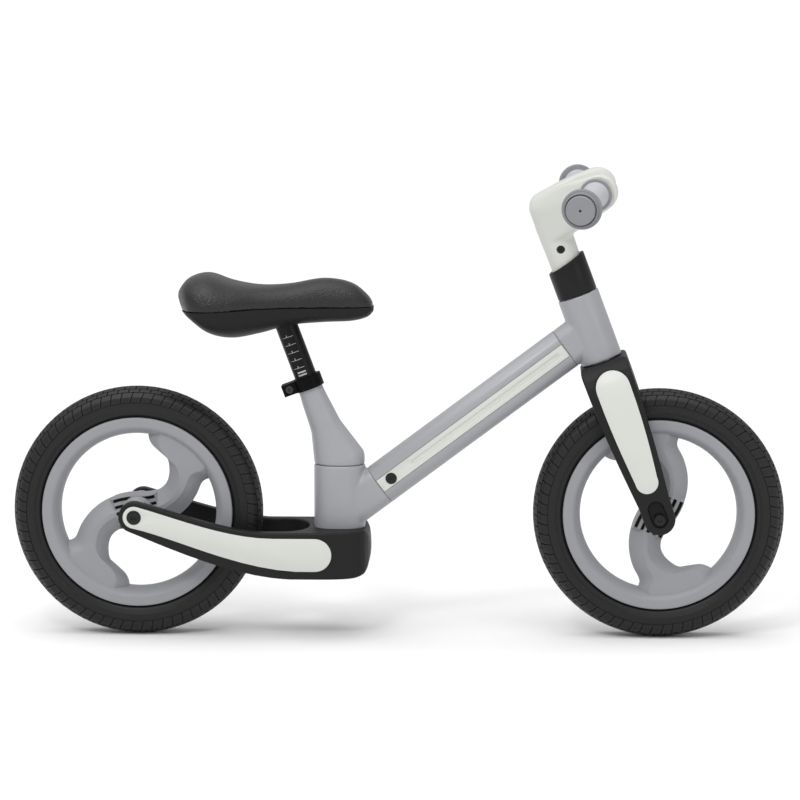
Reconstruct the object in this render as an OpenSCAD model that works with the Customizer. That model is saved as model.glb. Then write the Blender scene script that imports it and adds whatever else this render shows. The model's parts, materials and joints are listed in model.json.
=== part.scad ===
// Child's balance bike with 12 inch wheels, in millimetres.
// +X is forward, +Z is up, and the rider's right side is -Y.
// The origin is on the ground, midway between the two axles.

/* [Wheels] */
// Outside diameter of both tyres
wheel_d = 288; // [284:1:292]
// Distance between the two axles
wheelbase = 599; // [596:1:604]
// Width of the tyres
tyre_w = 47; // [45:1:48]
// Outside diameter of the rim at its edge
rim_d = 220; // [216:1:222]

/* [Frame] */
// Lean of the steering axis and of the seatpost, back from the vertical
lean = 20.5; // [20:0.5:21]
// Height of the down tube's section
tube_h = 48; // [46:1:48]
// Width of the down tube's section
tube_w = 38; // [36:1:40]
// Outside diameter of the head tube
head_d = 48; // [47:1:50]
// Clear gap between the two arms of the rear fork
rear_gap = 86; // [84:1:88]
// Thickness of each arm of the rear fork
arm_t = 14; // [12:1:15]

/* [Steering] */
// Clear gap between the two legs of the front fork
fork_gap = 76; // [74:1:80]
// Thickness of each leg of the front fork
leg_t = 14; // [12:1:15]
// Width over the two grips, without the caps in their ends
bar_w = 364; // [350:2:380]
// Diameter of the grips where the hand closes
grip_d = 27; // [25:1:29]
// Sweep of the grips back from straight across
grip_sweep = 9.7; // [6:0.1:12]

/* [Seat] */
// Diameter of the seatpost
post_d = 25.4; // [25.2:0.1:25.6]
// Length of the saddle
saddle_l = 227; // [220:1:235]
// Width of the saddle at its widest
saddle_w = 132; // [124:2:140]

/* [Hidden] */
$fn = 72;

// Running clearance on the radius, between a shaft and what turns or slides on it
fit = 0.05;
// Overlap that makes a cut pass clean through a face
eps = 1;

// Places of the two wheels
axle_z = wheel_d / 2;
rear_x = -wheelbase / 2;
front_x = wheelbase / 2;

// Wheel: tyre, rim and S-shaped spokes
rim_r = rim_d / 2;
rim_face_y = 21.5;
bed_r = rim_r - 10;
face_r = rim_r - 11.5;
barrel_r = rim_r - 20;
hub_r = 18;
hub_y = 24;
spoke_y = 17;
cap_r = 16.5;
bearing_r = 11;
bearing_w = 7;
bearing_y = 30;
axle_r = 5;
spacer_r = 7.5;
flare_n = 6;
edge_n = 20;
rear_spoke_turn = 0;
front_spoke_turn = 51;
vents = 5;
vent_from = edge_n - 4;
vent_to = edge_n - 1;
vent_floor = 9;
vent_bar = 3;
hub_edge = 0.025;

// Rear fork and the casting that stands in it
yoke_low = axle_z - 71;
yoke_top = axle_z - 17;
yoke_front = -30;
fork_end = -102;
arm_end_r = 18;
inlay_end_r = 12.6;
cast_x = -67;
cast_l = 59;
cast_w = 47;
cast_low = yoke_top - 8;
cast_top = axle_z + 55;
inlay_t = 1.6;
inlay_proud = 0.4;

// Down tube: its axis climbs forward at this angle, through this point
tube_angle = 36.87;
tube_mid = [86, 0, 254.7];
tube_l = 264.6;
tube_wall = 2.5;
tube_corner = 15;
tube_inlay_h = 16.5;
tube_slot = 5;
tube_bolt_at = -tube_l / 2 + 16;

// Heights along the steering axis, measured up from the front axle
crown_low = 154;
crown_top = 188;
head_low = 189;
head_top = 268.5;
collar_top = 308;
collar_r = 23;
stem_low = head_top + 4;
stem_bolt_h = 325.5;
arm_h = 374;
steerer_top = 352;
steerer_r = 14.3;
cup_r = 20;
cup_h = 8;

// Handlebar arms, in the steering frame
knuckle = [63.8, 53, 374];
knuckle_r = 20.7;
grip_in_y = 65;
grip_in_x = 59;
grip_l = (bar_w / 2 - grip_in_y) / cos(grip_sweep);
bar_tube_r = 9.5;
flange_r = 22.4;
flange_at = grip_l - 13;

// Heights along the seat axis, measured up from the top of the rear casting
seat_x = cast_x - 1;
seat_tube_top = 106;
seat_tube_r = 14.5;
clamp_low = 93.5;
clamp_h = 14.5;
post_low = 12;
post_top = 176;
post_wall = 2;
seat_bore_low = -38;
waist_k = 44;
waist_forward = 1.5;

// Saddle
saddle_x = -26;
saddle_seam = axle_z + 236.5;
saddle_gap = 0.6;

// ---------- helpers ----------

function mix(a, b, t) = a + (b - a) * t;

// Points on a cubic curve through p[0] and p[3]
function curve(p, n) = [
    for (i = [0 : n]) let (t = i / n)
        pow(1 - t, 3) * p[0] + 3 * t * pow(1 - t, 2) * p[1] + 3 * t * t * (1 - t) * p[2] + pow(t, 3) * p[3]
];

// Points on an arc about c, from angle a0 to a1
function arc(c, r, a0, a1, n) = [
    for (i = [0 : n]) let (a = mix(a0, a1, i / n)) c + r * [cos(a), sin(a)]
];

function reversed(list) = [for (i = [len(list) - 1 : -1 : 0]) list[i]];

// Smooth curve through rows of stations; u runs over the rows
function station(rows, u) =
    let (
        last = len(rows) - 1,
        i = min(floor(u), last - 1),
        t = u - i,
        a = rows[max(i - 1, 0)],
        b = rows[i],
        c = rows[i + 1],
        d = rows[min(i + 2, last)]
    )
    0.5 * (2 * b + (c - a) * t + (2 * a - 5 * b + 4 * c - d) * t * t + (3 * b - a - 3 * c + d) * t * t * t);

// Draws a side view, X and Z, through a thickness across the bike
module side_plate(thick) rotate([90, 0, 0]) linear_extrude(thick, center = true) children();

// Frame of a wheel: the axle is Z, and X and Y are the side view
module at_wheel(x) translate([x, 0, axle_z]) rotate([90, 0, 0]) children();

// Steering frame: Z is the steering axis, up from the front axle
module on_steering() translate([front_x, 0, axle_z]) rotate([0, -lean, 0]) children();

// Seat frame: Z is the seatpost's axis, up from the top of the rear casting
module on_seat() translate([seat_x, 0, cast_top]) rotate([0, -lean, 0]) children();

// Down tube frame: Z is the tube's axis, X is across its height
module on_tube() translate(tube_mid) rotate([0, 90 - tube_angle, 0]) children();

// One shape on each side of the bike
module both_sides() {
    children();
    mirror([0, 1, 0]) children();
}

module ring(outer, inner, h) difference() {
    cylinder(r = outer, h = h);
    translate([0, 0, -eps]) cylinder(r = inner, h = h + 2 * eps);
}

// Cylinder across the bike, from y0 out to y1 on the right side
module cross_pin(r, y0, y1) translate([0, -y0, 0]) rotate([90, 0, 0]) cylinder(r = r, h = y1 - y0);

// Rectangle with true round corners, centred
module rounded_rect(w, h, r) {
    square([w - 2 * r, h], center = true);
    square([w, h - 2 * r], center = true);
    for (x = [-1, 1], y = [-1, 1]) translate([x * (w / 2 - r), y * (h / 2 - r)]) circle(r);
}

// Socket-head bolt along -Z from z = 0: head above, shank below, hexagon in the head
module cap_bolt(head_r, head_h, shank_r, shank_l, key) difference() {
    union() {
        cylinder(r = head_r, h = head_h);
        translate([0, 0, -shank_l]) cylinder(r = shank_r, h = shank_l + eps / 2);
    }
    translate([0, 0, head_h * 0.45]) cylinder(r = key, h = head_h, $fn = 6);
}

// Turns a bolt so that its head faces out on the right side, at distance y
module facing_right(y) translate([0, -y, 0]) rotate([90, 0, 0]) children();

// ---------- wheels ----------

// A curve without its first point, to follow on from another
function onward(p, n) = [for (i = [1 : n]) curve(p, n)[i]];

// Upper edge of the S: from the rim at the left, over the hub, to the rim at the top.
// It flares where it meets the rim.
s_edge = concat(
    curve([[-86, -38], [-76, -37.5], [-73, -33], [-70, -25]], flare_n),
    onward([[-70, -25], [-62, -3], [-38, 19.5], [0, 19.5]], edge_n - flare_n),
    onward([[0, 19.5], [26, 18], [38, 30], [36, 52]], edge_n - flare_n),
    onward([[36, 52], [35, 72], [13, 66], [12, 91]], flare_n)
);
s_last = 2 * edge_n;

// Point on the i-th line across the S, at fraction f from the upper to the lower edge
function s_point(i, f) = mix(s_edge[i], -s_edge[s_last - i], f);
function s_width(i) = norm(s_edge[i] + s_edge[s_last - i]);
function heading(p) = atan2(p[1], p[0]);

// Part of the S between lines a and b, and fractions f0 and f1
module s_strip(a, b, f0, f1) polygon(concat(
    [for (i = [a : b]) s_point(i, f0)],
    [for (i = [b : -1 : a]) s_point(i, f1)]
));

// The whole S, set in from its two long edges, with both ends buried in the rim
module s_outline(inset) {
    near = inset / s_width(0);
    end_arc = arc([0, 0], bed_r - 3, heading(s_point(s_last, near)), heading(s_point(s_last, 1 - near)), 8);
    polygon(concat(
        [for (i = [0 : s_last]) s_point(i, inset / s_width(i))],
        end_arc,
        [for (i = [s_last : -1 : 0]) s_point(i, 1 - inset / s_width(i))],
        -end_arc
    ));
}

// Slots across each arm of the S, which stop at the hub
module vent_shapes() difference() {
    for (turn = [0, 180], k = [0 : vents - 1])
        rotate(turn) s_strip(vent_from, vent_to, (k + 0.22) / vents, (k + 0.78) / vents);
    circle(hub_r + 0.4);
}

function tyre_section() = let (w = tyre_w / 2, r = wheel_d / 2) concat(
    [[bed_r, -15.5], [rim_r + 0.5, -15.5], [rim_r + 1.5, -18.5]],
    curve([[rim_r + 4, -20.5], [rim_r + 12, -w], [r - 14, -w], [r - 9, -w + 0.7]], 5),
    arc([r - 32, 0], 32, -42, 42, 14),
    reversed(curve([[rim_r + 4, 20.5], [rim_r + 12, w], [r - 14, w], [r - 9, w - 0.7]], 5)),
    [[rim_r + 1.5, 18.5], [rim_r + 0.5, 15.5], [bed_r, 15.5]]
);

module tyre() color([0.13, 0.13, 0.13]) rotate_extrude($fn = 144) polygon(tyre_section());

rim_section = [
    [bed_r, -15.5], [rim_r, -15.5], [rim_r, -rim_face_y + 1], [rim_r - 1, -rim_face_y],
    [face_r, -rim_face_y], [barrel_r + 2, -14], [barrel_r, -7], [barrel_r, 7], [barrel_r + 2, 14],
    [face_r, rim_face_y], [rim_r - 1, rim_face_y], [rim_r, rim_face_y - 1], [rim_r, 15.5], [bed_r, 15.5]
];

// Rim, spokes and hub in one casting; the vents are pockets beside the hub
module rim() color([0.62, 0.63, 0.65]) difference() {
    union() {
        rotate_extrude($fn = 144) polygon(rim_section);
        linear_extrude(10, center = true) s_outline(0);
        linear_extrude(22, center = true) s_outline(8);
        linear_extrude(2 * spoke_y, center = true) s_outline(15);
        linear_extrude(2 * spoke_y - 1, center = true)
            s_strip(vent_from - 1, s_last - vent_from + 1, hub_edge, 1 - hub_edge);
        cylinder(r = hub_r, h = 2 * hub_y, center = true);
    }
    for (side = [-1, 1]) translate([0, 0, side * (hub_y + vent_floor)])
        linear_extrude(2 * hub_y, center = true) vent_shapes();
    cylinder(r = bearing_r, h = 2 * hub_y + 2 * eps, center = true);
}

// Black bars at the bottom of the vent pockets
module hub_vents() color([0.08, 0.08, 0.08]) for (side = [-1, 1])
    translate([0, 0, side * (vent_floor + vent_bar / 2)])
        linear_extrude(vent_bar, center = true) vent_shapes();

// Turned caps that carry the bearings, one each side of the hub
module hub_caps() color([0.72, 0.73, 0.75]) for (side = [0, 1]) mirror([0, 0, side])
    rotate_extrude() polygon([
        [bearing_r, hub_y], [cap_r, hub_y], [cap_r, bearing_y + 4], [cap_r - 3, bearing_y + 7],
        [spacer_r + 1.5, bearing_y + 7], [spacer_r + 1.5, bearing_y + 4], [bearing_r, bearing_y + 4]
    ]);

module bearings() color([0.6, 0.6, 0.62]) for (side = [0, 1]) mirror([0, 0, side])
    translate([0, 0, bearing_y - 4]) ring(bearing_r - 0.02, axle_r + fit, bearing_w);

module spacer() color([0.6, 0.6, 0.62]) translate([0, 0, -bearing_y + 4.2])
    ring(spacer_r, axle_r + fit, 2 * (bearing_y - 4.2));

module rear_tyre() at_wheel(rear_x) tyre();
module rear_rim() at_wheel(rear_x) rotate(rear_spoke_turn) rim();
module rear_hub_caps() at_wheel(rear_x) hub_caps();
module rear_hub_vents() at_wheel(rear_x) rotate(rear_spoke_turn) hub_vents();
module rear_bearings() at_wheel(rear_x) bearings();
module rear_spacer() at_wheel(rear_x) spacer();

module front_tyre() at_wheel(front_x) tyre();
module front_rim() at_wheel(front_x) rotate(front_spoke_turn) rim();
module front_hub_caps() at_wheel(front_x) hub_caps();
module front_hub_vents() at_wheel(front_x) rotate(front_spoke_turn) hub_vents();
module front_bearings() at_wheel(front_x) bearings();
module front_spacer() at_wheel(front_x) spacer();

// ---------- rear axle and rear fork ----------

arm_out = rear_gap / 2 + arm_t;

module rear_axle() color([0.55, 0.55, 0.57]) at_wheel(rear_x)
    cylinder(r = axle_r, h = 2 * arm_out - 6, center = true);

module rear_axle_bolts() color([0.07, 0.07, 0.07]) translate([rear_x, 0, axle_z])
    both_sides() facing_right(arm_out - 3) difference() {
        cylinder(r = 8, h = 4);
        translate([0, 0, 1.5]) cylinder(r = 3.5, h = 4, $fn = 6);
    }

// Side view of the rear fork
module rear_fork_side() polygon(concat(
    arc([rear_x, axle_z], arm_end_r, 251, 84, 16),
    curve([[rear_x + 3, axle_z + 17.7], [-255, 150], [-195, yoke_top + 1], [-150, yoke_top]], 10),
    [[yoke_front - 7, yoke_top]],
    curve([[yoke_front - 3, yoke_top - 6], [yoke_front, 108], [yoke_front, 85], [yoke_front - 7, 77]], 6),
    curve([[yoke_front - 10, 75.5], [yoke_front - 16, yoke_low], [-52, yoke_low], [-60, yoke_low]], 6),
    curve([[-122, yoke_low], [-185, yoke_low + 2], [-262, 109], [rear_x - 5, axle_z - 17.3]], 10)
));

// Plan of the rear fork: a U that closes in front of the wheel
module rear_fork_plan() difference() {
    polygon(concat(
        [[rear_x - 25, -arm_out]],
        curve([[-90, -arm_out], [-40, -arm_out], [yoke_front, -35], [yoke_front, 0]], 10),
        reversed(curve([[-90, arm_out], [-40, arm_out], [yoke_front, 35], [yoke_front, 0]], 10)),
        [[rear_x - 25, arm_out]]
    ));
    polygon(concat(
        [[rear_x - 30, -rear_gap / 2]],
        curve([[-138, -rear_gap / 2], [-112, -rear_gap / 2], [fork_end, -26], [fork_end, 0]], 8),
        reversed(curve([[-138, rear_gap / 2], [-112, rear_gap / 2], [fork_end, 26], [fork_end, 0]], 8)),
        [[rear_x - 30, rear_gap / 2]]
    ));
}

// Side view of the pale inlay in each arm
module rear_inlay_side() difference() {
    polygon(concat(
        arc([rear_x, axle_z], inlay_end_r, 249, 79, 14),
        curve([[rear_x + 3.2, axle_z + 12.2], [-252, 144], [-195, 120.5], [-141, 120.5]], 10),
        arc([-93, 101.5], 19, 90, -90, 16),
        curve([[-115, 82.5], [-185, 86], [-255, 122], [rear_x - 3.9, axle_z - 12]], 10)
    ));
    translate([rear_x, axle_z]) circle(8.2);
}

// The casting's footprint, an oval
module casting_foot(grow) {
    r = cast_w / 2 + grow;
    half = (cast_l - cast_w) / 2;
    for (x = [-half, half]) translate([cast_x + x, 0]) circle(r);
    translate([cast_x, 0]) square([2 * half, 2 * r], center = true);
}

yoke_bolt_x = [cast_x - 17, cast_x + 17];

module rear_fork() color([0.1, 0.1, 0.1]) difference() {
    intersection() {
        linear_extrude(3 * axle_z) rear_fork_plan();
        side_plate(2 * arm_out + 2) rear_fork_side();
    }
    at_wheel(rear_x) cylinder(r = axle_r, h = 3 * arm_out, center = true);
    translate([rear_x, 0, axle_z]) both_sides() cross_pin(8.2, arm_out - 3, arm_out + eps);
    both_sides() translate([0, -arm_out, 0]) side_plate(2 * inlay_t) rear_inlay_side();
    translate([0, 0, cast_low]) linear_extrude(20) casting_foot(0);
    for (x = yoke_bolt_x) translate([x, 0, yoke_low - eps]) {
        cylinder(r = 3.2, h = 60);
        cylinder(r = 6.2, h = 8 + eps);
    }
}

module rear_inlay() color([0.9, 0.91, 0.88]) translate([0, -arm_out + inlay_t / 2 - inlay_proud / 2, 0])
    side_plate(inlay_t + inlay_proud) rear_inlay_side();

module rear_fork_inlay_right() rear_inlay();
module rear_fork_inlay_left() mirror([0, 1, 0]) rear_inlay();

// Two bolts from below hold the casting down in the rear fork
module yoke_bolts() color([0.15, 0.15, 0.15]) for (x = yoke_bolt_x)
    translate([x, 0, yoke_low + 7]) rotate([180, 0, 0]) cap_bolt(5.5, 6, 3, 60, 2.5);

// ---------- castings and tubes of the frame ----------

// Section of the down tube: X is across its height, Y across its width
module tube_section(grow) rounded_rect(tube_h + 2 * grow, tube_w + 2 * grow, tube_corner + grow);

// Grooves for the two inlays along the tube
module tube_grooves() for (side = [-1, 1]) translate([0, side * tube_w / 2, 0])
    cube([tube_inlay_h, 2 * inlay_t, tube_l + 2], center = true);

module down_tube() color([0.68, 0.69, 0.71]) on_tube() difference() {
    linear_extrude(tube_l, center = true) tube_section(0);
    linear_extrude(tube_l + 2, center = true) tube_section(-tube_wall - inlay_t);
    tube_grooves();
    translate([0, 0, tube_bolt_at]) rotate([90, 0, 0]) cylinder(r = 3.2, h = 2 * tube_w, center = true);
}

// Long thin inlay with a shallow slot down its middle, and a hole for the bolt
module tube_inlay() color([0.9, 0.91, 0.88]) on_tube()
    translate([0, -tube_w / 2 + inlay_t / 2 - inlay_proud / 2, 0]) difference() {
        cube([tube_inlay_h - 0.8, inlay_t + inlay_proud, tube_l - 1], center = true);
        translate([0, -inlay_t / 2, 18]) rotate([90, 0, 0]) linear_extrude(inlay_t, center = true) {
            square([tube_slot, tube_l - 60], center = true);
            for (end = [-1, 1]) translate([0, end * (tube_l / 2 - 30)]) circle(d = tube_slot);
        }
        translate([0, 0, tube_bolt_at]) rotate([90, 0, 0]) cylinder(r = 6.6, h = 10, center = true);
    }

module down_tube_inlay_right() tube_inlay();
module down_tube_inlay_left() mirror([0, 1, 0]) tube_inlay();

module down_tube_bolts() color([0.07, 0.07, 0.07]) on_tube() both_sides()
    translate([0, 0, tube_bolt_at]) facing_right(tube_w / 2 - inlay_t) cap_bolt(6.4, 2.6, 3.2, 13, 2.5);

// Stub that leads into the tube, and the spigot inside it; end is -1 for the low end, +1 for the high end
module tube_stub(end, l) on_tube() {
    translate([0, 0, end * (tube_l + l) / 2]) linear_extrude(l, center = true) tube_section(0);
    translate([0, 0, end * (tube_l / 2 - 14)]) linear_extrude(30, center = true)
        tube_section(-tube_wall - inlay_t - 0.2);
}

// Upright casting that joins the rear fork, the down tube and the seat tube
module rear_casting() color([0.62, 0.63, 0.65]) difference() {
    union() {
        translate([0, 0, cast_low]) linear_extrude(cast_top - cast_low) casting_foot(0);
        intersection() {
            tube_stub(-1, 60);
            translate([cast_x, -tube_w, cast_low]) cube([200, 2 * tube_w, 200]);
        }
    }
    on_seat() translate([0, 0, seat_bore_low]) cylinder(r = post_d / 2 + fit, h = 120);
    for (x = yoke_bolt_x) translate([x, 0, cast_low - eps]) cylinder(r = 3, h = 30);
    on_tube() translate([0, 0, tube_bolt_at]) rotate([90, 0, 0])
        cylinder(r = 3.2, h = 2 * tube_w, center = true);
    on_tube() translate([0, 0, -tube_l / 2]) linear_extrude(60) tube_section(-tube_wall - inlay_t - 5);
}

// Thin round slice of the seat tube, at height k along it and set forward of its axis
module seat_tube_slice(k, forward, r) on_seat() translate([forward, 0, k]) cylinder(r = r, h = 1, $fn = 48);

// Seat tube casting: an oval foot that narrows into a round tube
module seat_tube() color([0.62, 0.63, 0.65]) difference() {
    union() {
        hull() {
            translate([0, 0, cast_top]) linear_extrude(9, $fn = 32) casting_foot(-0.4);
            translate([0, 0, cast_top + 9]) linear_extrude(6, $fn = 32) casting_foot(-1.6);
            seat_tube_slice(waist_k, waist_forward, seat_tube_r + 3.9);
        }
        hull() {
            seat_tube_slice(waist_k - 3, waist_forward, seat_tube_r + 3.95);
            seat_tube_slice(clamp_low - 10, 0, seat_tube_r + 0.3);
        }
        on_seat() translate([0, 0, clamp_low - 20]) cylinder(r1 = seat_tube_r + 1, r2 = seat_tube_r, h = 16);
        on_seat() translate([0, 0, clamp_low - 4])
            cylinder(r = seat_tube_r, h = seat_tube_top - clamp_low + 4);
    }
    on_seat() translate([0, 0, -20]) cylinder(r = post_d / 2 + fit, h = 200);
    on_seat() translate([-seat_tube_r, 0, seat_tube_top]) cube([2 * seat_tube_r, 2, 44], center = true);
}

// Clamp round the top of the seat tube, split at the back
module seat_clamp() color([0.08, 0.08, 0.08]) on_seat() difference() {
    union() {
        translate([0, 0, clamp_low]) cylinder(r = seat_tube_r + 2.6, h = clamp_h);
        translate([-22, 0, clamp_low + clamp_h / 2]) cube([16, 20, clamp_h - 1], center = true);
    }
    translate([0, 0, clamp_low - eps]) cylinder(r = seat_tube_r, h = clamp_h - 1);
    translate([0, 0, clamp_low - eps]) cylinder(r = post_d / 2 + 0.4, h = clamp_h + 3);
    translate([-22, 0, clamp_low + clamp_h / 2]) cube([20, 2.4, clamp_h + 2], center = true);
    translate([-22, 0, clamp_low + clamp_h / 2]) {
        rotate([90, 0, 0]) cylinder(r = 2.6, h = 40, center = true);
        cross_pin(4.6, 8, 12);
    }
}

module seat_clamp_bolt() color([0.2, 0.2, 0.2]) on_seat()
    translate([-22, 0, clamp_low + clamp_h / 2]) facing_right(8) cap_bolt(4.5, 3.4, 2.6, 17.5, 2);

// Head tube with the stub that leads to the down tube
module head_tube() color([0.62, 0.63, 0.65]) difference() {
    union() {
        on_steering() translate([0, 0, head_low]) cylinder(r = head_d / 2, h = head_top - head_low);
        intersection() {
            tube_stub(1, 60);
            on_steering() translate([-180, -tube_w, head_low]) cube([180, 2 * tube_w, 60]);
        }
    }
    on_steering() {
        translate([0, 0, head_low - 20]) cylinder(r = steerer_r + 2.2, h = 140);
        translate([0, 0, head_low - eps]) cylinder(r = cup_r, h = cup_h + 3 + eps);
        translate([0, 0, head_top - cup_h - 1]) cylinder(r = cup_r, h = cup_h + 1 + eps);
    }
}

module upper_headset_bearing() color([0.6, 0.6, 0.62]) on_steering()
    translate([0, 0, head_top - cup_h - 1]) ring(cup_r, steerer_r + fit, cup_h);

module lower_headset_bearing() color([0.6, 0.6, 0.62]) on_steering()
    translate([0, 0, head_low + 3]) ring(cup_r, steerer_r + fit, cup_h);

// ---------- saddle and seatpost ----------

// Hollow post with a thick head for the saddle's bolt
module seatpost() color([0.1, 0.1, 0.1]) on_seat() difference() {
    translate([0, 0, post_low]) cylinder(r = post_d / 2, h = post_top - post_low);
    translate([0, 0, post_low - eps]) cylinder(r = post_d / 2 - post_wall, h = post_top - post_low - 8);
    translate([0, 0, post_low - eps]) cylinder(r = 3, h = 200);
}

module seatpost_plug() color([0.1, 0.1, 0.1]) on_seat() translate([0, 0, post_low - 2]) {
    cylinder(r = post_d / 2 - 0.3, h = 2);
    cylinder(r = post_d / 2 - post_wall, h = 12);
}

// Stations along the saddle from its tail to its nose:
// distance from the nose, half width, rise above the seam, depth below the seam
saddle_rows = [
    [saddle_l, 1, 1, 1],
    [saddle_l - 1.5, 32, 18, 3],
    [saddle_l - 13, 57, 32, 13],
    [saddle_l - 36, saddle_w / 2, 38, 29.5],
    [saddle_l - 64, 61, 29, 35.5],
    [saddle_l - 96, 45, 24.5, 30.5],
    [saddle_l - 130, 34, 26.5, 21.5],
    [saddle_l - 168, 29, 33, 18],
    [saddle_l - 200, 26.5, 28, 16.5],
    [saddle_l - 218, 20, 15.5, 12],
    [saddle_l - 225, 12, 6, 5.5],
    [saddle_l - 227, 1, 1, 1]
];
// How far the seam drops towards the tail, and how far the tail tucks in there
seam_drop = 2.5;
tail_tuck = 7;
saddle_steps = 3;
saddle_sides = 16;

// Ring of points across the saddle; up is +1 for the cushion and -1 for the base
function saddle_ring(row, up) =
    let (
        shape = up > 0 ? 0.72 : 0.8,
        tail = max(0, row[0] / saddle_l - 0.6) / 0.4,
        drop = seam_drop * tail,
        tuck = tail_tuck * pow(tail, 3),
        rise = up > 0 ? row[2] + drop : max(0.8, row[3] - drop)
    )
    [for (k = [0 : saddle_sides]) let (a = 180 * k / saddle_sides, high = pow(sin(a), shape)) [
        saddle_x - row[0] + tuck * (up > 0 ? 1 - high : 1),
        row[1] * sign(cos(a)) * pow(abs(cos(a)), shape),
        saddle_seam - drop + up * (saddle_gap / 2 + rise * high)
    ]];

// Closed solid through the rings, flat on the seam
module saddle_half(up) {
    count = (len(saddle_rows) - 1) * saddle_steps;
    n = saddle_sides + 1;
    rings = [for (i = [0 : count]) saddle_ring(station(saddle_rows, i / saddle_steps), up)];
    points = [for (r = rings) each r];
    sides = [for (i = [0 : count - 1], k = [0 : n - 1]) let (
        a = i * n + k,
        b = i * n + (k + 1) % n,
        quad = [a, b, b + n, a + n]
    ) up > 0 ? quad : reversed(quad)];
    ends = [[for (k = [n - 1 : -1 : 0]) k], [for (k = [0 : n - 1]) count * n + k]];
    polyhedron(points, concat(sides, [for (e = ends) up > 0 ? e : reversed(e)]));
}

module saddle_cushion() color([0.12, 0.12, 0.12]) saddle_half(1);

// Plastic base, hollow above, with a socket for the post
module saddle_base() color([0.09, 0.09, 0.09]) difference() {
    saddle_half(-1);
    on_seat() translate([0, 0, 100]) cylinder(r = post_d / 2, h = post_top - 100);
    on_seat() cylinder(r = 3, h = 300);
}

// Bolt down through the base into the post's head
module saddle_bolts() color([0.3, 0.3, 0.3]) on_seat()
    translate([0, 0, post_top - 20]) cylinder(r = 3, h = 26);

// ---------- fork ----------

// Side view of the fork in the steering frame
module fork_side() polygon(concat(
    arc([0, 0], 18, 180, 360, 16),
    curve([[19, 20], [24, 70], [28.5, 130], [28.5, crown_top - 6]], 8),
    arc([24.5, crown_top - 4], 4, 0, 90, 3),
    arc([-23.5, crown_top - 4], 4, 90, 180, 3),
    curve([[-28, crown_top - 8], [-27, 120], [-23, 70], [-18, 20]], 8)
));

// Front view of the fork: two legs under a round-shouldered crown
module fork_front() {
    gap = fork_gap / 2;
    out = gap + leg_t;
    difference() {
        polygon(concat(
            [[out, -25]],
            curve([[out, 60], [out, 120], [out - 4, 176], [30, crown_top]], 10),
            reversed(curve([[-out, 60], [-out, 120], [-out + 4, 176], [-30, crown_top]], 10)),
            [[-out, -25]]
        ));
        polygon(concat(
            [[gap, -30]],
            curve([[gap, 90], [gap, 135], [26, crown_low], [0, crown_low]], 8),
            reversed(curve([[-gap, 90], [-gap, 135], [-26, crown_low], [0, crown_low]], 8)),
            [[-gap, -30]]
        ));
    }
}

leg_out = fork_gap / 2 + leg_t;

// Side view of the pale inlay in each leg
module fork_inlay_side() polygon(concat(
    arc([2, 159.5], 19.5, 0, 180, 16),
    curve([[-17.5, 155], [-17.5, 115], [-14.5, 78], [-12, 48]], 6),
    arc([1, 45.5], 13, 180, 360, 12),
    curve([[14, 48], [18, 80], [21.5, 115], [21.5, 155]], 6)
));

module fork() color([0.1, 0.1, 0.1]) on_steering() difference() {
    intersection() {
        side_plate(2 * leg_out + 2) fork_side();
        rotate([90, 0, 90]) linear_extrude(120, center = true) fork_front();
    }
    rotate([90, 0, 0]) cylinder(r = axle_r, h = 3 * leg_out, center = true);
    translate([0, 0, crown_low - eps]) cylinder(r = steerer_r, h = 60);
    both_sides() {
        cross_pin(9, leg_out - 4, leg_out + eps);
        translate([0, 0, 13]) cross_pin(9, leg_out - 4, leg_out + eps);
        translate([0, -leg_out, 7]) cube([18, 8, 12], center = true);
        fork_inlay_band(eps);
    }
}

// Band that follows the outside of the right leg, from grow outside it to the inlay's depth
module fork_inlay_band(grow) intersection() {
    translate([0, -leg_out, 0]) side_plate(40) fork_inlay_side();
    rotate([90, 0, 90]) linear_extrude(120, center = true) difference() {
        translate([-grow, 0]) fork_front();
        translate([inlay_t, 0]) fork_front();
        translate([-leg_out + 20, -30]) square([200, 300]);
    }
}

// Curved inlay in the outside of the leg
module fork_inlay() color([0.9, 0.91, 0.88]) on_steering() fork_inlay_band(inlay_proud);

module fork_inlay_right() fork_inlay();
module fork_inlay_left() mirror([0, 1, 0]) fork_inlay();

// Oval plates with a slot, let into the ends of the legs
module dropout_inserts() color([0.05, 0.05, 0.05]) on_steering() both_sides() difference() {
    union() {
        cross_pin(8.9, leg_out - 4, leg_out - 2);
        translate([0, 0, 13]) cross_pin(8.9, leg_out - 4, leg_out - 2);
        translate([0, -leg_out + 3, 6.5]) cube([17.8, 2, 13], center = true);
    }
    cross_pin(axle_r, leg_out - 5, leg_out);
}

module front_axle() color([0.55, 0.55, 0.57]) on_steering()
    rotate([90, 0, 0]) cylinder(r = axle_r, h = 2 * leg_out - 4, center = true);

module front_axle_bolts() color([0.07, 0.07, 0.07]) on_steering() both_sides()
    facing_right(leg_out - 2) difference() {
        cylinder(r = 6.2, h = 4);
        translate([0, 0, 1.5]) cylinder(r = 3, h = 4, $fn = 6);
    }

// ---------- steering column and handlebar ----------

module steerer_tube() color([0.55, 0.55, 0.57]) on_steering()
    translate([0, 0, crown_low + 2]) ring(steerer_r, steerer_r - 2.5, steerer_top - crown_low - 2);

module crown_race() color([0.5, 0.5, 0.52]) on_steering()
    translate([0, 0, crown_top]) ring(steerer_r + 3.2, steerer_r, 3.6);

// Black collar between the head tube and the stem, cut at a slant on top
module headset_collar() color([0.12, 0.12, 0.12]) on_steering() difference() {
    translate([0, 0, head_top + 0.6]) cylinder(r = collar_r, h = 60);
    translate([0, 0, stem_low - eps]) cylinder(r = 18.5, h = 80);
    cylinder(r = steerer_r, h = 400);
    translate([0, 0, collar_top]) rotate([0, -15, 0]) translate([-60, -60, 0]) cube([120, 120, 80]);
}

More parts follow.
